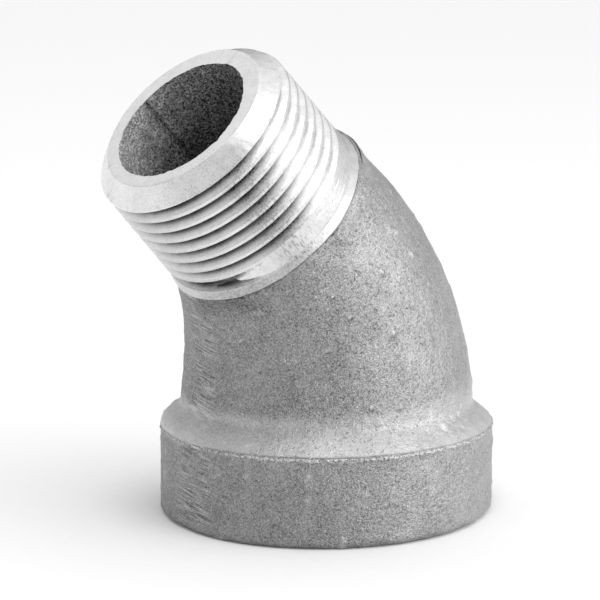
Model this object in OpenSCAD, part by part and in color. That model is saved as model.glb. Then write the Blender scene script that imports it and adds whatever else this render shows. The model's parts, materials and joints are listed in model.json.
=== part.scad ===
// 45 degree street elbow, 3/4-14 taper pipe thread: one casting with a banded
// female socket at the bottom and a male threaded end on the raised branch.
// Origin: centre of the socket's mouth face. +Z runs into the socket, and the
// male end leans towards -X. Millimetres.

/* [Pipe thread] */
// Threads per inch
threads_per_inch = 14; // [14:0.5:18]
// Change of thread diameter per millimetre of length
thread_taper = 0.0625; // [0:0.0025:0.0625]
// Share of the pitch taken by a thread's flat crest
crest_share = 0.22; // [0.15:0.01:0.3]

/* [Male end] */
// Centre of the bend to the male end face
male_reach = 33.3; // [32.5:0.1:37]
// Crest diameter where the end chamfer meets the thread
male_crest_d = 26.2; // [25.5:0.1:26.5]
// Number of full male threads
male_threads = 7; // [5:1:7]
// Diameter of the flat end face outside the bore
male_face_d = 21.6; // [20:0.1:23]
// Length of the chamfer at the male end
male_chamfer = 1.8; // [1:0.1:2]
// Bore of the male end and the shoulder
male_bore_d = 17.8; // [14:0.1:18]
// Male end face to the foot of the turned shoulder
shoulder_at = 16.9; // [16.8:0.1:18]
// Diameter at the foot of the turned shoulder
shoulder_foot_d = 26.6; // [26.4:0.1:27.2]
// Length of the shoulder's turned cone
shoulder_rise = 0.9; // [0.5:0.1:1.2]
// Largest diameter of the turned shoulder
shoulder_d = 28; // [27.8:0.1:29]
// Thickness of the shoulder behind its turned cone
shoulder_t = 0.5; // [0.3:0.1:0.8]

/* [Female end] */
// Centre of the bend to the socket's mouth face
female_reach = 28.6; // [28:0.1:34]
// Crest diameter of the female thread at the mouth
female_crest_d = 23.67; // [23.4:0.01:23.9]
// Number of full female threads
female_threads = 7; // [5:1:7]
// Diameter of the countersink at the mouth
countersink_d = 27.2; // [26.8:0.1:28]
// Outer diameter of the tapped lining, inside the band and the neck
lining_d = 29.2; // [28.6:0.1:30]
// Depth of the socket, where the bend starts
socket_depth = 14.6; // [14.6:0.1:15.5]

/* [Band and body] */
// Diameter of the reinforcing band round the socket
band_d = 43.2; // [42:0.1:46]
// Height of the band
band_h = 13; // [10:0.1:13.1]
// Height of the concave blend from the band to the neck
blend_h = 1.3; // [1:0.1:1.4]
// Diameter of the neck above the blend, where the bend starts
neck_d = 37.8; // [36:0.1:38.5]
// Body diameter at the shoulder
bend_end_d = 27.6; // [26:0.1:27.7]
// Passage diameter at the start of the bend
passage_d = 21; // [18:0.5:22]
// How late the body slims along the bend: 1 is even, more is later
slimming = 1.36; // [1:0.02:2]

/* [Hidden] */
$fn = 96;

cast_grey = [0.60, 0.60, 0.60];
turned_grey = [0.86, 0.86, 0.86];

// Thread form: 60 degree flanks between a flat crest and a narrow flat root.
mm_per_inch = 25.4;
pitch = mm_per_inch / threads_per_inch;
root_share = 0.02;
flank_angle = 30;
crest_w = crest_share * pitch;
flank_w = (1 - crest_share - root_share) * pitch / 2;
thread_depth = flank_w / tan(flank_angle);
radial_taper = thread_taper / 2;

// Rounded edges of the band, and its slight draft from the mould.
band_edge_r = 1.4;
band_lip_r = 1.6;
band_draft = 0.1;

// The centre line is an arc tangent to both thread axes, with a straight
// stretch before it or after it where one side is the longer.
bend_angle = 45;
branch_len = male_reach - shoulder_at - shoulder_rise - shoulder_t;
bend_tangent = min(female_reach - socket_depth, branch_len);
bend_r = bend_tangent / tan(bend_angle / 2);
lead_len = female_reach - socket_depth - bend_tangent;
arc_len = bend_r * bend_angle * PI / 180;
loft_len = lead_len + arc_len + branch_len - bend_tangent;
loft_rings = 24;
loft_sides = 64;

// Angle turned, s millimetres past the socket.
function tilt(s) = min(max(s - lead_len, 0) / arc_len, 1) * bend_angle;

// Point on the centre line, s millimetres past the socket.
function centre(s) =
    let (a = tilt(s), tail = max(s - lead_len - arc_len, 0))
    [-bend_r * (1 - cos(a)) - tail * sin(a), 0,
     socket_depth + min(s, lead_len) + bend_r * sin(a) + tail * cos(a)];

function ring_point(s, r, phi) =
    centre(s) + r * [cos(phi) * cos(tilt(s)), sin(phi), cos(phi) * sin(tilt(s))];

function body_r(s) =
    (neck_d + (bend_end_d - neck_d) * pow(s / loft_len, slimming)) / 2;

function passage_r(s) =
    (passage_d + (male_bore_d - passage_d) * s / loft_len) / 2;

// One thread in section, centred at a distance along the axis. side is 1 for
// a thread on the outside and -1 for one in a hole.
function thread_points(at, crest_r, side) =
    [[crest_r - side * thread_depth, at - crest_w / 2 - flank_w],
     [crest_r, at - crest_w / 2],
     [crest_r, at + crest_w / 2],
     [crest_r - side * thread_depth, at + crest_w / 2 + flank_w]];

// Places a child on the branch: its origin on the male end face, +Z inwards.
module from_male_face()
    translate([0, 0, female_reach])
        rotate([0, -bend_angle, 0])
            translate([0, 0, male_reach])
                mirror([0, 0, 1])
                    children();

// Lining of the socket: countersink, female threads and a plain inner end.
module female_thread() {
    mouth_r = female_crest_d / 2;
    sink_r = countersink_d / 2;
    sink_h = sink_r - mouth_r;
    first = sink_h + crest_w / 2;
    threads = [for (i = [0:female_threads - 1])
               let (at = first + i * pitch)
               each thread_points(at, mouth_r - at * radial_taper, -1)];
    past_sink = [for (i = [1:len(threads) - 1]) threads[i]];
    color(turned_grey)
        rotate_extrude()
            polygon(concat([[lining_d / 2, 0], [sink_r, 0]],
                           past_sink,
                           [[passage_d / 2, socket_depth], [lining_d / 2, socket_depth]]));
}

// Reinforcing band with rounded edges, and the neck above it.
module socket_band() {
    outer_r = band_d / 2;
    lip_r = outer_r - band_draft;
    blend_w = lip_r - band_lip_r - neck_d / 2;
    foot = [for (a = [-90:15:0])
            [outer_r - band_edge_r + band_edge_r * cos(a),
             band_edge_r + band_edge_r * sin(a)]];
    lip = [for (a = [0:15:90])
           [lip_r - band_lip_r + band_lip_r * cos(a),
            band_h - band_lip_r + band_lip_r * sin(a)]];
    blend = [for (a = [75:-15:0])
             [neck_d / 2 + blend_w * (1 - cos(a)),
              band_h + blend_h * (1 - sin(a))]];
    color(cast_grey)
        rotate_extrude()
            polygon(concat([[lining_d / 2, 0]], foot, lip, blend,
                           [[neck_d / 2, socket_depth],
                            [lining_d / 2, socket_depth]]));
}

// Hollow bend: rings of points along the centre line, slimming to the branch.
module bend_body() {
    step = loft_len / loft_rings;
    turn = 360 / loft_sides;
    outer = [for (i = [0:loft_rings], k = [0:loft_sides - 1])
             ring_point(i * step, body_r(i * step), k * turn)];
    inner = [for (i = [0:loft_rings], k = [0:loft_sides - 1])
             ring_point(i * step, passage_r(i * step), k * turn)];
    hole = len(outer);
    last = loft_rings * loft_sides;
    skin = [for (i = [0:loft_rings - 1], k = [0:loft_sides - 1])
            let (a = i * loft_sides + k, b = i * loft_sides + (k + 1) % loft_sides)
            each [[a, a + loft_sides, b], [b, a + loft_sides, b + loft_sides]]];
    lining = [for (t = skin) [t[0] + hole, t[2] + hole, t[1] + hole]];
    ends = [for (k = [0:loft_sides - 1])
            let (n = (k + 1) % loft_sides)
            each [[k, n, k + hole], [n, n + hole, k + hole],
                  [last + k, last + k + hole, last + n],
                  [last + n, last + k + hole, last + n + hole]]];
    color(cast_grey)
        polyhedron(concat(outer, inner), concat(skin, lining, ends));
}

// Turned shoulder that stands proud behind the male thread.
module shoulder_ring() {
    rim_r = shoulder_d / 2;
    rim_at = shoulder_at + shoulder_rise;
    color(turned_grey)
        from_male_face()
            rotate_extrude()
                polygon([[male_bore_d / 2, shoulder_at],
                         [shoulder_foot_d / 2, shoulder_at],
                         [rim_r, rim_at],
                         [rim_r, rim_at + shoulder_t / 2],
                         [bend_end_d / 2, rim_at + shoulder_t],
                         [male_bore_d / 2, rim_at + shoulder_t]]);
}

// Male end: chamfered nose, tapered threads and the plain run to the shoulder.
module male_thread() {
    nose_r = male_crest_d / 2;
    first = male_chamfer + pitch - crest_w / 2;
    threads = [for (i = [0:male_threads - 1])
               let (at = first + i * pitch)
               each thread_points(at, nose_r + (at - male_chamfer) * radial_taper, 1)];
    run_out = first + (male_threads - 1) * pitch + crest_w / 2 + 2 * flank_w;
    color(turned_grey)
        from_male_face()
            rotate_extrude()
                polygon(concat([[male_bore_d / 2, 0],
                                [male_face_d / 2, 0],
                                [nose_r, male_chamfer]],
                               threads,
                               [[nose_r, run_out],
                                [nose_r, shoulder_at],
                                [male_bore_d / 2, shoulder_at]]));
}

female_thread();
socket_band();
bend_body();
shoulder_ring();
male_thread();
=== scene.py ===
"""Looks of the 45 degree street elbow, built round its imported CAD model.

The casting is one piece of metal. Here it is three closed meshes that meet where its
finish changes: the sand-cast skin with the cored passage, the tapped socket, and the
threaded male end. Lengths in the shape code are millimetres, and mesh() turns them
into metres. Angles round an axis are in turns or radians, as each name says.
"""

import json
import math

import bmesh
import bpy
import numpy as np
from mathutils import Matrix, Vector


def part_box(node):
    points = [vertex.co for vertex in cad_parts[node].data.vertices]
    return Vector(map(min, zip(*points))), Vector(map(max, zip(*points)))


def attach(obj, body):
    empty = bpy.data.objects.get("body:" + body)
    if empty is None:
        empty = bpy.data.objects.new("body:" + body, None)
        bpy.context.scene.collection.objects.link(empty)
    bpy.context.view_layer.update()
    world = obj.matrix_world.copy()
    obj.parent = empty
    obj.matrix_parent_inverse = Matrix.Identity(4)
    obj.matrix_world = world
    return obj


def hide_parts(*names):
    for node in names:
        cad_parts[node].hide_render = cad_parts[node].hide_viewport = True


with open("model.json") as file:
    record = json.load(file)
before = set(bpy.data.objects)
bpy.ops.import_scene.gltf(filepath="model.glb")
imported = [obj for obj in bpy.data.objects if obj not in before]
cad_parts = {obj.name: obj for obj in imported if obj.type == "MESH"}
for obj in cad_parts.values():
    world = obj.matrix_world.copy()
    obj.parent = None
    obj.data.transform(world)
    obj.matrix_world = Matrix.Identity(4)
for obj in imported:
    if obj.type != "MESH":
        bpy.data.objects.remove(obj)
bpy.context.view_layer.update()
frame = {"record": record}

MM = 0.001
TURN = 2 * math.pi
SIDES = 480
ANGLE = np.arange(SIDES) * TURN / SIDES

# Sizes that the frame states.
mounts = {m["name"]: m for m in frame["record"]["mounts"]}
FACE = np.array(mounts["male_port"]["pos_m"]) / MM
OUT = np.array(mounts["male_port"]["axis"])
BORE_R = mounts["male_port"]["dims"]["r_mm"]
PORT_LEN = mounts["male_port"]["dims"]["length_mm"]
BAND_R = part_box("socket_band")[1].x / MM
SOCKET_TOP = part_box("socket_band")[1].z / MM
FEMALE_REACH = FACE[2] + FACE[0]
MALE_REACH = math.hypot(FACE[0], FACE[2] - FEMALE_REACH)

# Threads: 14 per inch, tapering 1 in 16, right-handed.
PITCH = 25.4 / 14
TAPER = 1 / 32
CREST_SHARE = 0.22
ROOT_SHARE = 0.03
FLANK_SHARE = (1 - CREST_SHARE - ROOT_SHARE) / 2
DEPTH = FLANK_SHARE * PITCH * math.sqrt(3)
FIRST_CREST = 3.59
THREAD_START = 116.7 / 360

# Male end: distances from its face.
FACE_R = 10.79
CHAMFER = 1.83
NOSE_R = 13.12
THREAD_END = 16.5
SHOULDER = 16.85
SHOULDER_R = 13.33
RIM = 17.75
RIM_R = 13.98
CORE_SHIFT = 0.36

# Socket, band and body.
MOUTH_R = 11.835
SINK_R = 13.6
FOOT_R = 1.1
LIP_R = 1.6
LIP_TOP = 13.0
LIP_SIDE_R = 21.5
BEAD_AT = 11.15
NECK_R = 18.9
BEND_T = FEMALE_REACH - SOCKET_TOP
BODY_END_R = 13.79
SLIMMING = 1.367
PASSAGE_R = 10.5
LINING_R = 14.6
SOCKET_END = 13.6
FOOT_IN = BAND_R - FOOT_R
# Thickness of the machined ring that makes the mouth's face.
FACING = 0.5
# Points closer than this, in mm, become one.
JOIN = 0.0001
# Edges sharper than this many degrees stay crisp.
TURNED_CREASE = 28
CAST_CREASE = 60

# Studio lights: compass from the front to the right, height, sharpness and strength.
GLOWS = [
    (0, 90, 5, 0.72),
    (30, 45, 8, 0.48),
    (85, 45, 6, 0.6),
    (174, 48, 7, 0.45),
    (235, 43, 8, 0.72),
    (64, 10, 10, 3.3),
    (30, 10, 8, 0.9),
    (105, 10, 8, 0.5),
    (145, 10, 8, 0.5),
    (215, 2, 20, 1.0),
    (250, 1, 20, 1.0),
    (285, 1, 20, 0.95),
    (322, 18, 8, 0.75),
]
# Even light from everywhere, behind the glows.
AMBIENT = 0.03
KEY_COMPASS, KEY_HEIGHT = math.radians(352), math.radians(70)
KEY_SIZE, KEY_ENERGY, KEY_DISTANCE = 0.22, 1.0, 0.8
KEY_TARGET = Vector((-0.004, 0, 0.03))
FLOOR_REACH = 6

# Camera, in metres and degrees.
AZIMUTH, ELEVATION, ROLL = math.radians(-43.467), math.radians(9.731), math.radians(-0.61)
CAMERA_DISTANCE = 0.266352
AIM_HEIGHT = 0.027079
AIM_SIDE = -0.003288
SENSOR = 36
LENS = 124.02744

# ---------------------------------------------------------------- repeatable noise


def lattice(i, j, k, seed):
    """A number from -1 to 1 that is always the same for one grid point and seed."""
    h = (i * 73856093) ^ (j * 19349663) ^ (k * 83492791) ^ (seed * 2654435761)
    h = (h ^ (h >> 13)) * 1274126177 & 0xFFFFFFFF
    h = (h ^ (h >> 16)) * 2246822519 & 0xFFFFFFFF
    return ((h ^ (h >> 15)) & 0xFFFF) / 32767.5 - 1


def noise(p, size, seed=0):
    """Smooth noise from about -1 to 1, with features of the given size."""
    q = p / size + 1000.0
    c = np.floor(q).astype(np.int64)
    f = q - c
    f = f * f * (3 - 2 * f)
    total = 0
    for corner in range(8):
        d = np.array([corner & 1, corner >> 1 & 1, corner >> 2 & 1])
        w = np.prod(np.where(d, f, 1 - f), axis=-1)
        n = c + d
        total = total + w * lattice(n[..., 0], n[..., 1], n[..., 2], seed)
    return total


def smooth(x, low, high):
    t = np.clip((x - low) / (high - low), 0, 1)
    return t * t * (3 - 2 * t)


def wrap(turns):
    """An angle in turns, brought between -0.5 and 0.5."""
    return turns - np.round(turns)


def bell(x):
    """1 in the middle, and soft to 0 on both sides."""
    return np.exp(-(x**2))


def lobe(turns, wide):
    """A bell round an axis, where turns is the angle from its middle."""
    return bell(wrap(turns) / wide)


# ---------------------------------------------------------------- mesh building


def mesh(name, grid, crease, masks, meet=None):
    """A closed mesh from rings of points, in mm: rows follow each other, then join up.

    Rows that follow a thread don't close on themselves. meet holds a column, and the
    row of the next column that each of its rows runs on into.
    """
    rows, cols = grid.shape[:2]
    index = np.arange(rows * cols).reshape(rows, cols)
    beside = np.roll(index, -1, axis=1)
    if meet:
        column, partner = meet
        beside[:, column] = index[partner, (column + 1) % cols]
    quads = np.stack(
        [index, beside, np.roll(beside, -1, axis=0), np.roll(index, -1, axis=0)], -1
    ).reshape(-1, 4)
    m = bpy.data.meshes.new(name)
    m.from_pydata((grid.reshape(-1, 3) * MM).tolist(), [], quads.tolist())
    for key, value in masks.items():
        layer = m.attributes.new(key, "FLOAT", "POINT")
        values = np.broadcast_to(value, (rows, cols)).astype(np.float32)
        layer.data.foreach_set("value", values.ravel())
    join = bmesh.new()
    join.from_mesh(m)
    bmesh.ops.remove_doubles(join, verts=join.verts, dist=JOIN * MM)
    bmesh.ops.dissolve_degenerate(join, edges=join.edges, dist=JOIN * MM)
    join.to_mesh(m)
    join.free()
    m.polygons.foreach_set("use_smooth", [True] * len(m.polygons))
    m.set_sharp_from_angle(angle=math.radians(crease))
    m.update()
    o = bpy.data.objects.new(name, m)
    bpy.context.scene.collection.objects.link(o)
    return o


def normals(grid):
    """Outward normals of an open run of rings."""
    along = np.gradient(grid, axis=0)
    beside = np.roll(grid, -1, axis=1) - np.roll(grid, 1, axis=1)
    n = np.cross(beside, along)
    return n / np.maximum(np.linalg.norm(n, axis=-1, keepdims=True), 1e-9)


AX_1 = np.array([OUT[2], 0, -OUT[0]])
AX_2 = np.array([0, 1.0, 0])


def branch_ring(s, r):
    """A ring s behind the male face and r from the branch's axis."""
    s, r = np.broadcast_to(s, (SIDES,)), np.broadcast_to(r, (SIDES,))
    return (
        FACE
        - OUT * s[:, None]
        + AX_1 * (r * np.cos(ANGLE))[:, None]
        + AX_2 * (r * np.sin(ANGLE))[:, None]
    )


def flat_ring(z, r):
    """A ring round the socket's axis."""
    z, r = np.broadcast_to(z, (SIDES,)), np.broadcast_to(r, (SIDES,))
    return np.stack([r * np.cos(ANGLE), r * np.sin(ANGLE), z], -1)


BEND_R = BEND_T / math.tan(math.pi / 8)
BEND_ARC = BEND_R * math.pi / 4
LOFT_LEN = BEND_ARC + MALE_REACH - PORT_LEN - BEND_T


def loft_ring(s, r):
    """A ring round the bend's centre line, s past the socket's inner end."""
    a = min(s / BEND_R, math.pi / 4)
    tail = max(s - BEND_ARC, 0)
    x = -BEND_R * (1 - math.cos(a)) - tail * math.sin(a)
    z = SOCKET_TOP + BEND_R * math.sin(a) + tail * math.cos(a)
    r = np.broadcast_to(r, (SIDES,))
    across = r * np.cos(ANGLE)
    return np.stack(
        [x + across * math.cos(a), r * np.sin(ANGLE), z + across * math.sin(a)], -1
    )


def ring_noise(size, seed, radius=13.0):
    """Noise round the branch, one value per column."""
    ring = np.stack([radius * np.cos(ANGLE), radius * np.sin(ANGLE), 0 * ANGLE], -1)
    return noise(ring, size, seed)


def spot(turn, at, where, wide, long=None):
    """A soft round spot at one angle (turns) and one place along the rows (mm)."""
    turns, along, radius = where
    across = wrap(turns - turn) * TURN * radius
    return np.exp(-((across / wide) ** 2) - ((along - at) / (long or wide)) ** 2)


# ---------------------------------------------------------------- male end

# Turns round the branch from the middle of its front, growing with the thread's lead.
FRONT = wrap(ANGLE / TURN + THREAD_START)
CRUMBLE = (
    0.08 * ring_noise(1.4, 1, BORE_R)
    + 0.06 * ring_noise(0.5, 2, BORE_R)
    + 0.04 * ring_noise(0.25, 3, BORE_R)
    + 0.3 * bell(wrap(FRONT - 0.02) * 55 / 0.35)
)
BORE_EDGE = BORE_R - CORE_SHIFT * np.cos(ANGLE) + CRUMBLE
# The casting is off centre under the thread, so the shoulder stands out more on one side.
PROUD = lobe(FRONT - 0.27, 0.12)
RIM_EDGE_S = RIM + 0.08 * ring_noise(6, 7) + 0.04 * ring_noise(1.2, 8)
RIM_EDGE_R = RIM_R - 0.05 + 0.1 * PROUD + 0.06 * ring_noise(5, 5) + 0.04 * ring_noise(0.9, 6)
# The first crest is rubbed down on the far side.
RUBBED = 0.45 * smooth(np.abs(FRONT), 0.27, 0.4)
SLEEVE_R = 10.2
SLEEVE_S = 3.0
TONGUE_AT = 15.65
TONGUE_TURN = -0.09
# Turns of thread that are stepped through, from before the nose to past the run-out.
STEPPED = range(-3, 9)
# Nicks on the male end: turns round, distance behind the face, size.
KNOCKS = [
    (-0.39, 0.25, 0.30),
    (-0.375, 0.5, 0.18),
    (-0.285, 0.05, 0.2),
    (-0.07, 0.1, 0.16),
    (-0.25, 1.6, 0.22),
    (-0.235, 1.75, 0.18),
    (0.21, 1.3, 0.15),
    (0.235, 1.35, 0.12),
    (-0.12, 1.85, 0.15),
    (0.12, 3.6, 0.14),
    (-0.33, 5.4, 0.16),
    (0.41, 7.3, 0.18),
]


def thread_cut(s, x):
    """How deep the thread is cut at s: 0 on a crest and 1 at a root. x counts crests."""
    k = np.floor(x + 1e-6)
    q = x - k
    down = np.clip(q / FLANK_SHARE, 0, 1)
    rise = np.clip((q - FLANK_SHARE - ROOT_SHARE) / FLANK_SHARE, 0, 1)
    lead = k - FRONT
    plain = (down - rise) * smooth(lead, -1.78, -1.5) * (1 - smooth(lead, 5.45, 5.72))
    # The last turn meets the off-centre shoulder, so its groove comes back on one side.
    last = (k >= 6) & (lead > 5.9)
    flank = FLANK_SHARE * PITCH
    edge = FIRST_CREST + PITCH * (np.where(FRONT > 0.2, 7, 6) - FRONT)
    open_down = np.clip((s - edge) / flank, 0, 1)
    open_up = np.clip((THREAD_END - s) / (0.35 * flank), 0, 1)
    tongue = TONGUE_TURN + 0.045 * np.clip(np.abs(s - TONGUE_AT) / 0.85, 0, 2) ** 1.5
    tip = smooth(tongue - FRONT, 0, 0.02) * (FRONT < 0)
    tail = (FRONT > 0.2) * (1 - smooth(0.5 - FRONT, 0.03, 0.17))
    ending = np.minimum(open_down, open_up) * np.maximum(tip, tail) * 0.85
    return np.where(last, ending, plain)


def chamfer_r(s):
    """Radius of the chamfer s behind the face. It is a little lower on the far side."""
    far = 0.35 * lobe(FRONT - 0.34, 0.11)
    return FACE_R + (NOSE_R - FACE_R) / CHAMFER * s - far * smooth(s, 0, 1.0)


def build_male():
    marks = [0, 0.025, 0.1, 0.18, 0.27, 0.34, FLANK_SHARE, FLANK_SHARE + ROOT_SHARE, 0.45]
    marks += [0.53, 0.61, 0.69, 0.755, 0.79, 0.86, 0.93, 0.975]
    base = FIRST_CREST - PITCH * FRONT
    edge_wave = 0.012 * ring_noise(0.9, 11) + 0.012 * ring_noise(0.3, 12)
    S = [RIM_EDGE_S, np.full(SIDES, SLEEVE_S)]
    R = [np.full(SIDES, SLEEVE_R)] * 2
    C = [np.zeros(SIDES)] * 2
    for f in (0, 0.03, 0.12, 0.25, 0.38, 0.5, 0.62, 0.74, 0.85, 0.94, 0.985):
        S.append(np.zeros(SIDES))
        R.append(BORE_EDGE + (FACE_R - BORE_EDGE) * f)
        C.append(np.zeros(SIDES))
    for d in (0.015, 0.06, 0.15, 0.27, 0.39, 0.51, 0.63, 0.75):
        S.append(np.full(SIDES, d))
        R.append(chamfer_r(S[-1]))
        C.append(np.zeros(SIDES))
    first = len(S)
    for k in STEPPED:
        for q in marks:
            s = np.clip(base + PITCH * (k + q), 0.87, THREAD_END)
            x = (s - base) / PITCH
            cut = thread_cut(s, x)
            crest = NOSE_R + (s - CHAMFER) * TAPER
            crest = crest - RUBBED * bell((s - CHAMFER) / 0.95)
            on_top = 1 - smooth(cut, 0, 0.2)
            r = crest - DEPTH * cut + edge_wave * on_top * smooth(s, 2.2, 3)
            nose = chamfer_r(s) + 0.02 * ring_noise(0.6, 13)
            S.append(s)
            R.append(np.minimum(r, nose))
            C.append(np.where(nose < r, 0.0, cut))
    last = len(S) - 1
    floor_r = np.minimum(R[-1], SHOULDER_R + 0.05)
    for f in (0.25, 0.6, 0.9):
        s = THREAD_END + (SHOULDER - THREAD_END) * f
        S.append(np.full(SIDES, s))
        R.append(floor_r + (SHOULDER_R - floor_r) * f)
        C.append(np.zeros(SIDES))
    for f in (0, 0.04, 0.15, 0.3, 0.45, 0.6, 0.75, 0.88, 0.96, 1):
        S.append(SHOULDER + (RIM_EDGE_S - SHOULDER) * f)
        R.append(SHOULDER_R + (RIM_EDGE_R - SHOULDER_R) * f)
        C.append(np.zeros(SIDES))
    S, R, C = np.array(S), np.array(R), np.array(C)

    # Knocks: a score across the face, nicks on its edges, and chips along the nose.
    where = (FRONT, np.where(S > 0, S, R - FACE_R), R)
    on_face = S < CHAMFER
    score = bell(wrap(FRONT - 0.30) * TURN * 11 / 0.16) * (S < 0.9)
    depth = 0.05 * score * np.ones_like(S)
    for turn, at, size in KNOCKS:
        depth = depth + 0.5 * size * spot(turn, at, where, size, size)
    path = np.stack([R * np.cos(ANGLE), R * np.sin(ANGLE), S], -1)
    chips = smooth(noise(path, 0.32, 21), 0.45, 0.85)
    near_nose = bell((S - CHAMFER) / 0.35)
    depth = depth + 0.09 * chips * near_nose
    ticks = smooth(noise(path / np.array([1, 1, 0.45]), 0.3, 22), 0.4, 0.75)
    land = (C < 0.05) * smooth(S, 14.2, 14.8) * (1 - smooth(S, 16.2, 16.5))
    zone = smooth(FRONT, 0.03, 0.06) * (1 - smooth(FRONT, 0.2, 0.24))
    tick_mask = ticks * land * zone
    depth = depth + 0.05 * tick_mask
    sunk_s = S + depth * np.where(on_face, 0.8, 0.0) * (S < SLEEVE_S)
    sunk_r = R - depth * np.where(S > 0, 0.8, 0.0)
    # The first rows meet the cast body, so they stay put.
    free = (np.arange(len(S)) >= 3)[:, None]
    S = np.where(free, sunk_s, S)
    R = np.where(free, sunk_r, R)
    grid = np.array([branch_ring(s, r) for s, r in zip(S, R)])
    # Painted shade in the grooves: darkest on the front left, and painted lighter on the right,
    # where the light falls.
    groove_light = 0.32 * smooth(FRONT, 0.0, 0.09) * (1 - smooth(FRONT, 0.28, 0.48))
    groove_shade = 0.74 + 0.14 * lobe(FRONT + 0.11, 0.07) - groove_light
    # Painted shade on the crests and land: a narrow line at the front, a patch on the left, a line
    # where the land meets the shoulder, the land by the run-out, and the shoulder cone.
    painted_shade = 0.5 * lobe(FRONT + 0.008, 0.03) * smooth(S, 2, 3.5) * (1 - C)
    crest_shade = 0.4 * lobe(FRONT + 0.2, 0.08) * smooth(S, 2, 3) * (S < SHOULDER)
    painted_shade = np.maximum(painted_shade, crest_shade)
    painted_shade = np.maximum(painted_shade, 0.5 * bell((S - SHOULDER) / 0.09))
    cone = 0.30 + 0.75 * lobe(FRONT + 0.105, 0.1)
    land_shade = 0.7 * lobe(FRONT + 0.165, 0.04) * smooth(S, 14.8, 15.2)
    painted_shade = np.maximum(painted_shade, land_shade * (1 - C))
    painted_shade = np.maximum(painted_shade, cone * smooth(S, SHOULDER - 0.1, SHOULDER + 0.1))
    chatter = lobe(FRONT - 0.01, 0.035) * smooth(S, 0.5, 2.5) * np.ones_like(S)
    chatter = chatter + 0.4 * lobe(FRONT + 0.06, 0.07) * (S < CHAMFER)
    masks = {
        "groove": C * groove_shade,
        "knock": np.clip(depth * 8, 0, 1),
        "painted_shade": painted_shade * np.ones_like(S),
        "chatter": chatter,
    }
    flip = {key: value[::-1] for key, value in masks.items()}
    partner = np.arange(len(S))
    partner[first : last + 1] = np.maximum(partner[first : last + 1] - len(marks), first)
    meet = int(np.argmin(np.diff(FRONT))), len(S) - 1 - partner[::-1]
    return mesh("male_thread_end", grid[::-1], TURNED_CREASE, flip, meet)


# ---------------------------------------------------------------- socket end


def build_female():
    rows = [
        flat_ring(FACING, FOOT_IN),
        flat_ring(FACING, LINING_R),
        flat_ring(SOCKET_TOP, LINING_R),
        flat_ring(SOCKET_TOP, PASSAGE_R),
    ]
    cuts = [np.zeros(SIDES)] * 4
    lead = wrap(-ANGLE / TURN)
    base = SINK_R - MOUTH_R + CREST_SHARE * PITCH - PITCH * lead
    marks = [0, 0.03, 0.15, 0.27, FLANK_SHARE, FLANK_SHARE + ROOT_SHARE]
    marks += [0.5, 0.62, 0.75, 0.79, 0.9]
    profile, cut_rows = [], []
    for k in STEPPED:
        for q in marks:
            z = np.clip(base + PITCH * (k + q), 0.05, SOCKET_END)
            x = (z - base) / PITCH
            f = x - np.floor(x + 1e-6)
            down = np.clip(f / FLANK_SHARE, 0, 1)
            rise = np.clip((f - FLANK_SHARE - ROOT_SHARE) / FLANK_SHARE, 0, 1)
            cut = (down - rise) * (1 - smooth(z, 11.4, 13.2))
            r = np.maximum(MOUTH_R - z * TAPER + DEPTH * cut, SINK_R - z)
            profile.append(flat_ring(z, r))
            cut_rows.append(cut)
    rows.append(flat_ring(SOCKET_TOP, MOUTH_R - SOCKET_TOP * TAPER))
    first, count = len(rows), len(profile)
    rows += profile[::-1]
    cuts += [np.zeros(SIDES)] + cut_rows[::-1]
    for f in (0, 0.02, 0.1, 0.25, 0.4, 0.55, 0.7, 0.85, 0.97, 1):
        rows.append(flat_ring(0, SINK_R + (FOOT_IN - SINK_R) * f))
        cuts.append(np.zeros(SIDES))
    clear = np.zeros((len(rows), SIDES))
    # The groove mask paints shade into the socket's thread grooves.
    masks = {"groove": np.array(cuts) * 0.7, "knock": clear, "painted_shade": clear, "chatter": clear}
    partner = np.arange(len(rows))
    partner[first : first + count] = np.maximum(partner[first : first + count] - len(marks), first)
    meet = int(np.argmax(np.diff(lead))), partner
    return mesh("socket_thread", np.array(rows), TURNED_CREASE, masks, meet)


# ---------------------------------------------------------------- cast body

# Grains of sand stuck in the skin: turns round, mm along the bend, size.
GRAINS = [
    (0.747, 19.7, 0.44),
    (0.676, 21.5, 0.34),
    (0.681, 17.4, 0.34),
    (0.722, 12.3, 0.40),
    (0.718, 9.7, 0.36),
    (0.657, 22.7, 0.28),
    (0.521, 19.3, 0.30),
    (0.511, 16.9, 0.30),
    (0.572, 13.4, 0.30),
    (0.483, 9.2, 0.28),
    (0.642, 14.0, 0.26),
    (0.624, 13.0, 0.26),
    (0.675, 2.9, 0.34),
    (0.707, 2.2, 0.28),
]
BEAD_STEPS = np.array([-0.2, -0.1, 0.0, 0.1, 0.2])
# Paler patches: turns round, mm along the bend, size.
PALE = [(0.743, 22.7, 2.4), (0.762, 18.1, 1.6), (0.69, 10.0, 1.8), (0.738, 7.8, 2.0)]
# Kinds of ring, from the foot upwards.
BAND, BEAD, FILLET, BEND = range(4)
# How far each side of the fitting faces the widest part of the band.
SIDEWAYS = np.cos(ANGLE + 0.759)


def wrap_end(along):
    """Grows from 0 to 1 over the bend's last few millimetres."""
    return smooth(along, LOFT_LEN - 2.6, LOFT_LEN - 0.4) * (along <= LOFT_LEN)


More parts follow.
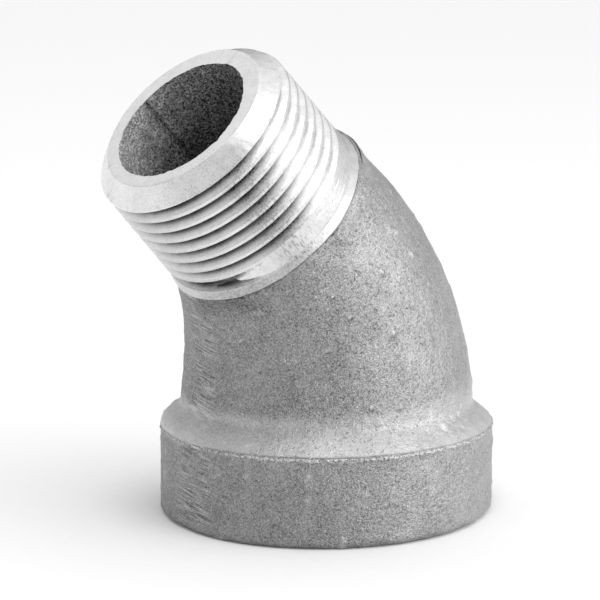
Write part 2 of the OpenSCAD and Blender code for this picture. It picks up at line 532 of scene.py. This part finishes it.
def build_cast():
    outer, along, zone = [], [], []

    def add(ring, place, kind):
        outer.append(ring)
        along.append(place)
        zone.append(kind)

    for a in np.radians(np.linspace(-90, 0, 10)):
        add(flat_ring(FOOT_R + FOOT_R * math.sin(a), FOOT_IN + FOOT_R * math.cos(a)), -16, BAND)
    top = LIP_TOP - LIP_R
    levels = [np.linspace(FOOT_R, BEAD_AT - 0.35, 20)[1:], BEAD_AT + BEAD_STEPS]
    for z in np.concatenate(levels):
        side = BAND_R + (LIP_SIDE_R - BAND_R) * (z - FOOT_R) / (top - FOOT_R)
        add(flat_ring(z, side), z - SOCKET_TOP, BEAD if z > BEAD_AT - 0.3 else BAND)
    for z in np.linspace(top + 0.15, SOCKET_TOP - 0.2, 17):
        lean = 0.3 + 0.3 * SIDEWAYS
        round_edge = smooth(z, top + 0.3 - lean, SOCKET_TOP - 0.7 * lean)
        hollow = 1 - (1 - (z - top) / (SOCKET_TOP - top)) ** 1.6
        fall = hollow + (round_edge - hollow) * SIDEWAYS**2
        add(flat_ring(z, LIP_SIDE_R - (LIP_SIDE_R - NECK_R) * fall), z - SOCKET_TOP, FILLET)
    for f in np.linspace(0, 1, 88):
        s = LOFT_LEN * f
        add(loft_ring(s, NECK_R + (BODY_END_R - NECK_R) * f**SLIMMING), s, BEND)
    for back, drop, swell in ((0.45, -0.06, 0.66), (0.25, -0.04, 0.62), (0.1, 0.02, 0.45)):
        add(branch_ring(RIM_EDGE_S + back, BODY_END_R + drop + swell * PROUD), LOFT_LEN + 1, BEND)
    grid = np.array(outer)
    along = np.array(along, float)[:, None]
    zone = np.array(zone)[:, None]
    n = normals(grid)
    count = len(grid)
    ends = smooth(np.arange(count), 0, 4) * (1 - smooth(np.arange(count), count - 4, count - 1))
    ends = ends[:, None]
    turn = ANGLE / TURN
    radius = np.linalg.norm(grid[:, 0] - grid[:, SIDES // 2], axis=-1)[:, None] / 2
    where = (turn, along, radius)

    rough = smooth(noise(grid, 9, 31), -0.2, 0.5)
    lift = 0.05 * noise(grid, 6, 32) + 0.035 * noise(grid, 2.3, 33) + 0.045 * noise(grid, 1.0, 34)
    lift = lift + (0.5 + 0.9 * rough) * 0.035 * noise(grid, 0.62, 35)
    sand = smooth(noise(grid, 1.5, 36), 0.62, 0.9) * smooth(noise(grid, 5, 37), -0.3, 0.3)
    lift = lift + 0.14 * sand
    pits = smooth(noise(grid, 0.9, 38), 0.6, 0.95)
    lift = lift - 0.07 * pits
    # Painted highlights on the tops of the sand and the raised grains, and painted shadows just
    # below the listed grains.
    painted_highlight = 0.6 * sand
    painted_shadow = 0 * sand
    for at, mm, size in GRAINS:
        bump = spot(at, mm, where, size)
        lift = lift + 0.7 * size * bump
        painted_highlight = np.maximum(painted_highlight, spot(at, mm + 0.1, where, 0.7 * size))
        painted_shadow = np.maximum(painted_shadow, spot(at, mm - 1.1 * size, where, size, 0.6 * size))
    rng = np.random.default_rng(7)
    for _ in range(90):
        size = rng.uniform(0.16, 0.34)
        bump = spot(rng.uniform(0, 1), rng.uniform(-13, 27), where, size)
        lift = lift + 0.5 * size * bump
        painted_highlight = np.maximum(painted_highlight, 0.8 * bump)
    # A lump and a hollow behind the shoulder, where the mould was damaged.
    lift = lift + 0.35 * spot(0.733, 26.4, where, 0.45, 0.9)
    lift = lift - 0.3 * spot(0.716, 26.6, where, 0.8, 0.5)
    # A nick in the band's upper edge.
    lift = lift + 0.18 * spot(0.716, -3.3, where, 0.4, 0.6)
    lift = lift - 0.18 * spot(0.723, -4.2, where, 0.4, 0.7)
    back = wrap_end(along)
    lift = lift + 0.66 * PROUD * back
    # A broken bead of metal runs round the band's upper edge, with a crease over part of it.
    height = grid[:, :1, 2]
    banded = zone <= FILLET
    bead_at = BEAD_AT + 0.06 * noise(grid, 1.1, 39)
    bead = banded * bell((height - bead_at) / 0.2)
    bead = bead * (1 - 0.5 * SIDEWAYS**2)
    lift = lift + bead * (0.17 + 0.18 * noise(grid, 0.4, 40) + 0.09 * noise(grid, 1.6, 41))
    crease = banded * bell((height - BEAD_AT - 0.42) / 0.16)
    front = smooth(turn, 0.56, 0.60) * (1 - smooth(turn, 0.70, 0.72))
    lift = lift - 0.10 * crease * front
    # The band stands a little off the neck's axis.
    off = -0.15 * SIDEWAYS
    lift = lift + banded * off * (1 - smooth(height, 3, LIP_TOP))
    # Where the two halves of the mould met, the flash is ground off in a strip.
    seam = 0.468 + 0.017 * (zone < BEND)
    strip = np.maximum(
        np.exp(-(np.abs(wrap(turn - seam) * TURN * radius / (3.0 + 0.6 * (zone < BEND))) ** 4)),
        np.exp(-(np.abs(wrap(turn - 0.012) * TURN * radius / 3.2) ** 4)),
    )
    strip = strip * smooth(noise(grid * np.array([1, 1, 1.6]), 1.8, 42), -0.75, 0.1)
    strip = strip * np.where(zone == FILLET, 0.25, 1.0)
    lift = lift * (1 - 0.55 * strip) - 0.05 * strip
    grid = grid + n * (lift * ends)[..., None]
    grid[..., 2] = np.maximum(grid[..., 2], 0)
    # Painted shade on the left just under the shoulder's overhang, and down the fitting's left
    # edge.
    painted_left_shade = smooth(along, LOFT_LEN - 5, LOFT_LEN) * smooth(turn, 0.44, 0.49)
    painted_left_shade = painted_left_shade * (1 - smooth(turn, 0.52, 0.66))
    painted_left_shade = painted_left_shade * (0.8 + 0.3 * noise(grid, 2, 43))
    painted_left_shade = np.maximum(painted_left_shade, 0.6 * lobe(turn - 0.385, 0.045) * (zone != FILLET))
    pale_and_lit = sum(spot(at, mm, where, size) for at, mm, size in PALE)
    # Painted light on the blend that faces up from the band to the neck, fading out up the neck.
    neck = 0.6 * (zone == BEND) * (1 - smooth(along, 0, 3.5))
    lit_blend = np.where(zone == FILLET, 1 - 0.4 * smooth(height, 12, 14), neck)
    lit_blend = lit_blend * (1 - bead) * np.ones_like(rough)
    # Painted light on the fitting's right side.
    lit_right = smooth(turn, 0.64, 0.79) * (1 - smooth(turn, 0.92, 1))
    masks = {
        "ground": strip * ends,
        "painted_highlight": np.clip(painted_highlight, 0, 1),
        "pale_and_lit": np.clip(pale_and_lit, 0, 1),
        "edge": np.broadcast_to(bead, rough.shape),
        "inside": np.zeros_like(rough),
        "painted_left_shade": painted_left_shade * np.ones_like(rough),
        "lit_blend": lit_blend,
        "painted_shadow": painted_shadow,
        "lit_right": lit_right * np.ones_like(rough),
    }

    joint = [branch_ring(RIM_EDGE_S, RIM_EDGE_R), branch_ring(RIM_EDGE_S, SLEEVE_R)]
    joint.append(branch_ring(SLEEVE_S, SLEEVE_R))
    depths = np.concatenate(
        [[0, 0.06, 0.16, 0.3], np.linspace(0.5, 8, 24), np.linspace(8.6, PORT_LEN - 1, 12)]
    )
    inner = []
    for d in depths:
        shift = CORE_SHIFT * (1 - smooth(d, 0, PORT_LEN))
        bore = BORE_R - shift * np.cos(ANGLE) + CRUMBLE * (1 - smooth(d, 0, 0.9))
        inner.append(branch_ring(d, bore))
    for f in np.linspace(1, 0, 12):
        inner.append(loft_ring(LOFT_LEN * f, PASSAGE_R + (BORE_R - PASSAGE_R) * f))
    inner = np.array(inner)
    n = normals(inner)
    fade = np.concatenate([smooth(depths, 0, 0.5), np.ones(11), [0]])[:, None]
    lift = 0.10 * noise(inner, 2.2, 51) + 0.08 * noise(inner, 0.8, 52)
    lift = lift + 0.12 * noise(inner, 0.42, 53)
    # Lengthwise ribs left by the core, on the upper left of the mouth.
    ribs = ring_noise(0.5, 54, BORE_R) * lobe(FRONT + 0.43, 0.06)
    lift = lift + 0.34 * ribs * smooth(noise(inner, 3, 55), -0.9, 0.1)
    lift = lift - 0.3 * bell(wrap(FRONT + 0.462) * TURN * BORE_R / 0.15)
    inner = inner + n * (lift * fade)[..., None]
    # Faces that the socket's lining covers.
    hidden = [
        flat_ring(SOCKET_TOP, LINING_R),
        flat_ring(FACING, LINING_R),
        flat_ring(FACING, FOOT_IN),
    ]
    everything = np.concatenate([grid, joint, inner, hidden])
    tail = len(everything) - count
    for key in masks:
        fill = 1.0 if key == "inside" else 0.0
        masks[key] = np.concatenate([masks[key], np.full((tail, SIDES), fill)])
    first = count + len(joint)
    bored = slice(first, first + len(depths))
    # Painted light on the bore's upper left, near the mouth.
    lit = lobe(FRONT + 0.36, 0.16) * (1 - smooth(depths, 3, 12))[:, None]
    masks["pale_and_lit"][bored] = lit
    # Painted shade in lines along the ribs and the groove on the bore's upper left.
    lines = smooth(ring_noise(0.45, 56, BORE_R), 0.0, 0.5) * lobe(FRONT + 0.43, 0.05)
    lines = np.maximum(lines, bell(wrap(FRONT + 0.462) * TURN * BORE_R / 0.2))
    masks["painted_shadow"][bored] = 1.3 * lines * (1 - smooth(depths, 5, 12))[:, None]
    return mesh("cast_body", everything, CAST_CREASE, masks)


cast = build_cast()
male = build_male()
female = build_female()
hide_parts("socket_band", "bend_body")
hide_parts("male_thread", "shoulder_ring")
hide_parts("female_thread")
for piece in (cast, male, female):
    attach(piece, "root")

# ---------------------------------------------------------------- materials


class Shader:
    """A material built from nodes, with sizes in mm."""

    def __init__(self, name):
        self.material = bpy.data.materials.new(name)
        self.material.use_nodes = True
        self.tree = self.material.node_tree
        self.surface = self.tree.nodes["Principled BSDF"]
        self.place = self.make("ShaderNodeTexCoord").outputs["Object"]

    def make(self, kind):
        return self.tree.nodes.new(kind)

    def put(self, socket, value):
        if isinstance(value, bpy.types.NodeSocket):
            self.tree.links.new(value, socket)
        else:
            socket.default_value = value

    def noise(self, size, seed, detail=1.0, place=None, distortion=0.0):
        n = self.make("ShaderNodeTexNoise")
        n.noise_dimensions = "4D"
        self.put(n.inputs["Vector"], place or self.place)
        n.inputs["W"].default_value = seed
        n.inputs["Scale"].default_value = 1 / (size * MM)
        n.inputs["Detail"].default_value = detail
        n.inputs["Distortion"].default_value = distortion
        return n.outputs["Fac"]

    def math(self, operation, a, b=0.0):
        n = self.make("ShaderNodeMath")
        n.operation = operation
        self.put(n.inputs[0], a)
        self.put(n.inputs[1], b)
        return n.outputs[0]

    def add(self, *terms):
        total = terms[0]
        for t in terms[1:]:
            total = self.math("ADD", total, t)
        return total

    def times(self, a, b):
        return self.math("MULTIPLY", a, b)

    def span(self, value, low, high, to_low=0.0, to_high=1.0):
        n = self.make("ShaderNodeMapRange")
        n.interpolation_type = "SMOOTHSTEP"
        self.put(n.inputs["Value"], value)
        n.inputs["From Min"].default_value = low
        n.inputs["From Max"].default_value = high
        n.inputs["To Min"].default_value = to_low
        n.inputs["To Max"].default_value = to_high
        return n.outputs["Result"]

    def mask(self, name):
        n = self.make("ShaderNodeAttribute")
        n.attribute_name = name
        return n.outputs["Fac"]

    def along(self, direction):
        """Distance of the surface point along one direction, in metres."""
        n = self.make("ShaderNodeVectorMath")
        n.operation = "DOT_PRODUCT"
        self.put(n.inputs[0], self.place)
        n.inputs[1].default_value = direction
        return n.outputs["Value"]

    def vector(self, x, y, z):
        n = self.make("ShaderNodeCombineXYZ")
        for socket, value in zip(n.inputs, (x, y, z)):
            self.put(socket, value)
        return n.outputs[0]

    def grey(self, value):
        """A grey whose brightness follows a value."""
        n = self.make("ShaderNodeCombineColor")
        for socket in n.inputs:
            self.put(socket, value)
        return n.outputs[0]

    def bump(self, height, depth):
        n = self.make("ShaderNodeBump")
        self.put(n.inputs["Height"], height)
        n.inputs["Distance"].default_value = depth * MM
        return n.outputs["Normal"]


def cast_skin():
    """As-cast skin. Each noise has its size in mm, its seed and its detail."""
    m = Shader("cast_skin")
    grain = m.noise(0.18, 1, 2)
    fine = m.noise(0.11, 2, 1)
    lumps = m.noise(0.75, 3, 2)
    mottle = m.noise(2.6, 4, 3)
    cloud = m.noise(8, 5, 2)
    ground, painted_highlight, pale_and_lit = m.mask("ground"), m.mask("painted_highlight"), m.mask("pale_and_lit")
    edge, inside = m.mask("edge"), m.mask("inside")
    lit_blend = m.mask("lit_blend")
    calm = m.math("SUBTRACT", 1.0, m.times(lit_blend, 0.5))

    # Grinding strokes slope a little across the flash line.
    slope = math.radians(8)
    across = m.along((0, -math.sin(slope), math.cos(slope)))
    lengthwise = m.along((0.1, -math.cos(slope), -math.sin(slope)))
    strokes = m.noise(0.19, 6, 1, m.vector(across, m.times(lengthwise, 0.045), 0.0))
    strokes = m.span(strokes, 0.35, 0.65)

    sandy = m.math("SUBTRACT", m.span(grain, 0.28, 0.72), 0.5)
    gritty = m.math("SUBTRACT", m.span(fine, 0.25, 0.75), 0.5)
    shade = m.add(
        0.28,
        m.times(m.times(sandy, calm), 0.19),
        m.times(m.times(gritty, calm), 0.16),
        m.times(m.span(m.noise(0.15, 8, 1), 0.60, 0.70), 0.15),
        m.times(m.span(m.noise(0.15, 9, 1), 0.60, 0.72), -0.08),
        # Painted light on the blend that faces up.
        m.times(lit_blend, 0.24),
        # Painted light on the right side.
        m.times(m.mask("lit_right"), 0.12),
        m.times(m.math("SUBTRACT", lumps, 0.5), 0.10),
        m.times(m.math("SUBTRACT", mottle, 0.5), 0.14),
        m.times(m.math("SUBTRACT", cloud, 0.5), 0.14),
        # Painted highlights on raised grains, and painted shadow below them and along the bore's
        # ribs.
        m.times(painted_highlight, 0.20),
        m.times(m.mask("painted_shadow"), -0.16),
        m.times(pale_and_lit, 0.05),
        # Painted highlight, speckled, on the bead round the band's upper edge.
        m.times(m.times(edge, m.span(grain, 0.38, 0.60)), 0.34),
        # Painted shade under the shoulder and down the left edge.
        m.times(m.mask("painted_left_shade"), -0.13),
        m.times(m.times(ground, m.math("SUBTRACT", strokes, 0.5)), 0.27),
        m.times(inside, -0.04),
        # Painted light on the bore's upper left.
        m.times(m.times(inside, pale_and_lit), 0.42),
        m.times(m.times(inside, sandy), 0.60),
    )
    pocks = m.span(m.noise(0.36, 7, 1), 0.62, 0.72)
    shade = m.math("MAXIMUM", m.math("SUBTRACT", shade, m.times(pocks, 0.045)), 0.03)
    m.put(m.surface.inputs["Base Color"], m.grey(shade))
    m.surface.inputs["Metallic"].default_value = 1.0
    matte = m.add(0.44, m.times(m.math("SUBTRACT", lumps, 0.5), 0.3), m.times(inside, 0.12))
    m.put(m.surface.inputs["Roughness"], m.math("SUBTRACT", matte, m.times(ground, 0.12)))
    level = m.math("SUBTRACT", 1.0, m.times(ground, 0.75))
    height = m.add(
        m.times(m.times(m.add(grain, m.times(lumps, 1.6), m.times(pocks, -1.0)), level), calm),
        m.times(fine, 0.5),
        m.times(m.times(strokes, ground), 0.5),
        m.times(m.times(grain, inside), 2.6),
    )
    m.put(m.surface.inputs["Normal"], m.bump(height, 0.12))
    return m.material


def turned_metal(name, direction):
    """Metal off the lathe: fine rings round the axis, with painted shade in the grooves and on
    parts of the crests.
    """
    m = Shader(name)
    groove, knock = m.mask("groove"), m.mask("knock")
    level = m.along(tuple(direction))
    # Tool lines: noise drawn out round the axis, so that it changes along it alone.
    fine = m.noise(0.07, 11, 1, m.vector(level, 0.0, 0.0))
    wander = m.noise(0.5, 12, 1, m.vector(level, 0.0, 0.0))
    patch = m.noise(1.1, 13, 3)
    speck = m.noise(0.22, 14, 1)
    cloud = m.noise(4, 15, 2)
    # Chatter marks: noise drawn out along the axis.
    pull = m.make("ShaderNodeVectorMath")
    pull.operation = "ADD"
    m.put(pull.inputs[0], m.place)
    m.put(pull.inputs[1], m.vector(*(m.times(level, -0.8 * d) for d in direction)))
    dashes = m.span(m.noise(0.2, 17, 1, pull.outputs[0]), 0.52, 0.64)
    shade = m.add(
        0.80,
        m.times(m.math("SUBTRACT", fine, 0.5), 0.10),
        m.times(m.math("SUBTRACT", patch, 0.5), 0.26),
        m.times(m.math("SUBTRACT", speck, 0.5), 0.16),
        m.times(m.math("SUBTRACT", cloud, 0.5), 0.10),
        # Painted shade deep in the thread grooves.
        m.times(m.span(groove, 0.10, 0.80), -0.62),
        m.times(knock, -0.25),
        # Painted shade on parts of the crests, the land and the shoulder cone.
        m.times(m.mask("painted_shade"), m.add(-0.30, m.times(m.span(speck, 0.40, 0.65), -0.18))),
        m.times(m.mask("chatter"), m.times(dashes, -0.24)),
        m.times(dashes, -0.03),
    )
    m.put(m.surface.inputs["Base Color"], m.grey(m.math("MINIMUM", shade, 0.97)))
    m.surface.inputs["Metallic"].default_value = 1.0
    m.put(
        m.surface.inputs["Roughness"],
        m.add(0.27, m.times(m.math("SUBTRACT", patch, 0.5), 0.20), m.times(groove, 0.06)),
    )
    m.surface.inputs["Anisotropic"].default_value = 0.6
    # The brushing runs round the axis. On a face square to the axis this product is
    # zero, which leaves the socket's mouth face black.
    swirl = m.make("ShaderNodeVectorMath")
    swirl.operation = "CROSS_PRODUCT"
    normal = m.make("ShaderNodeNewGeometry").outputs["Normal"]
    m.put(swirl.inputs[0], normal)
    swirl.inputs[1].default_value = tuple(direction)
    m.put(m.surface.inputs["Tangent"], swirl.outputs[0])
    tear = m.noise(0.35, 16, 2, None, 0.4)
    height = m.add(
        m.times(fine, 0.5),
        m.times(wander, 0.4),
        m.times(speck, 0.5),
        m.times(tear, 0.9),
    )
    m.put(m.surface.inputs["Normal"], m.bump(height, 0.012))
    return m.material


cast.data.materials.append(cast_skin())
male.data.materials.append(turned_metal("turned_male", OUT))
female.data.materials.append(turned_metal("turned_socket", (0, 0, 1)))

# ---------------------------------------------------------------- floor, light, camera

corners = [(x * FLOOR_REACH, y * FLOOR_REACH, 0) for x, y in ((-1, -1), (1, -1), (1, 1), (-1, 1))]
floor_mesh = bpy.data.meshes.new("floor")
floor_mesh.from_pydata(corners, [], [(0, 1, 2, 3)])
floor = bpy.data.objects.new("floor", floor_mesh)
bpy.context.scene.collection.objects.link(floor)
paper = Shader("paper")
tooth = paper.noise(1.5, 21, 2)
shade = paper.span(tooth, 0.2, 0.8, 0.955, 0.975)
paper.put(paper.surface.inputs["Base Color"], paper.grey(shade))
paper.surface.inputs["Roughness"].default_value = 0.9
paper.surface.inputs["Specular IOR Level"].default_value = 0.1
floor.data.materials.append(paper.material)

world = bpy.data.worlds.new("studio")
bpy.context.scene.world = world
world.use_nodes = True
wt = world.node_tree
ray = wt.nodes.new("ShaderNodeTexCoord").outputs["Generated"]
right = Vector((math.cos(AZIMUTH), math.sin(AZIMUTH), 0))
back = Vector((-math.sin(AZIMUTH), math.cos(AZIMUTH), 0))


def wt_math(operation, *values):
    n = wt.nodes.new("ShaderNodeMath")
    n.operation = operation
    for socket, value in zip(n.inputs, values):
        if isinstance(value, bpy.types.NodeSocket):
            wt.links.new(value, socket)
        else:
            socket.default_value = value
    return n.outputs[0]


def glow(compass, height, spread, strength):
    """A soft light on the studio's wall. The compass counts from the front to the right."""
    c, e = math.radians(compass), math.radians(height)
    d = (right * math.sin(c) - back * math.cos(c)) * math.cos(e) + Vector((0, 0, math.sin(e)))
    n = wt.nodes.new("ShaderNodeVectorMath")
    n.operation = "DOT_PRODUCT"
    wt.links.new(ray, n.inputs[0])
    n.inputs[1].default_value = d
    falloff = wt_math("MULTIPLY_ADD", n.outputs["Value"], spread, -spread)
    return wt_math("MULTIPLY", wt_math("EXPONENT", falloff), strength)


wt.nodes["Background"].inputs["Color"].default_value = (1, 1, 1, 1)
light = AMBIENT
for lamp in GLOWS:
    light = wt_math("ADD", light, glow(*lamp))
wt.links.new(light, wt.nodes["Background"].inputs["Strength"])

key_data = bpy.data.lights.new("key", "AREA")
key_data.shape = "DISK"
key_data.size = KEY_SIZE
key_data.energy = KEY_ENERGY
key = bpy.data.objects.new("key", key_data)
bpy.context.scene.collection.objects.link(key)
aim = (right * math.sin(KEY_COMPASS) - back * math.cos(KEY_COMPASS)) * math.cos(KEY_HEIGHT)
aim += Vector((0, 0, math.sin(KEY_HEIGHT)))
key.location = KEY_TARGET + aim * KEY_DISTANCE
key.rotation_mode = "QUATERNION"
key.rotation_quaternion = aim.to_track_quat("Z", "Y")

camera_data = bpy.data.cameras.new("camera")
camera = bpy.data.objects.new("camera", camera_data)
bpy.context.scene.collection.objects.link(camera)
look = back * math.cos(ELEVATION) - Vector((0, 0, math.sin(ELEVATION)))
up = right.cross(look)
target = Vector((0, 0, AIM_HEIGHT)) + right * AIM_SIDE
tipped_right = right * math.cos(ROLL) + up * math.sin(ROLL)
tipped_up = up * math.cos(ROLL) - right * math.sin(ROLL)
camera.matrix_world = Matrix.Translation(target - look * CAMERA_DISTANCE) @ Matrix(
    (tipped_right, tipped_up, -look)
).transposed().to_4x4()
camera_data.sensor_width = SENSOR
camera_data.lens = LENS
camera_data.clip_start = 0.01
camera_data.clip_end = 100
bpy.context.scene.camera = camera
bpy.context.scene.view_settings.view_transform = "Standard"
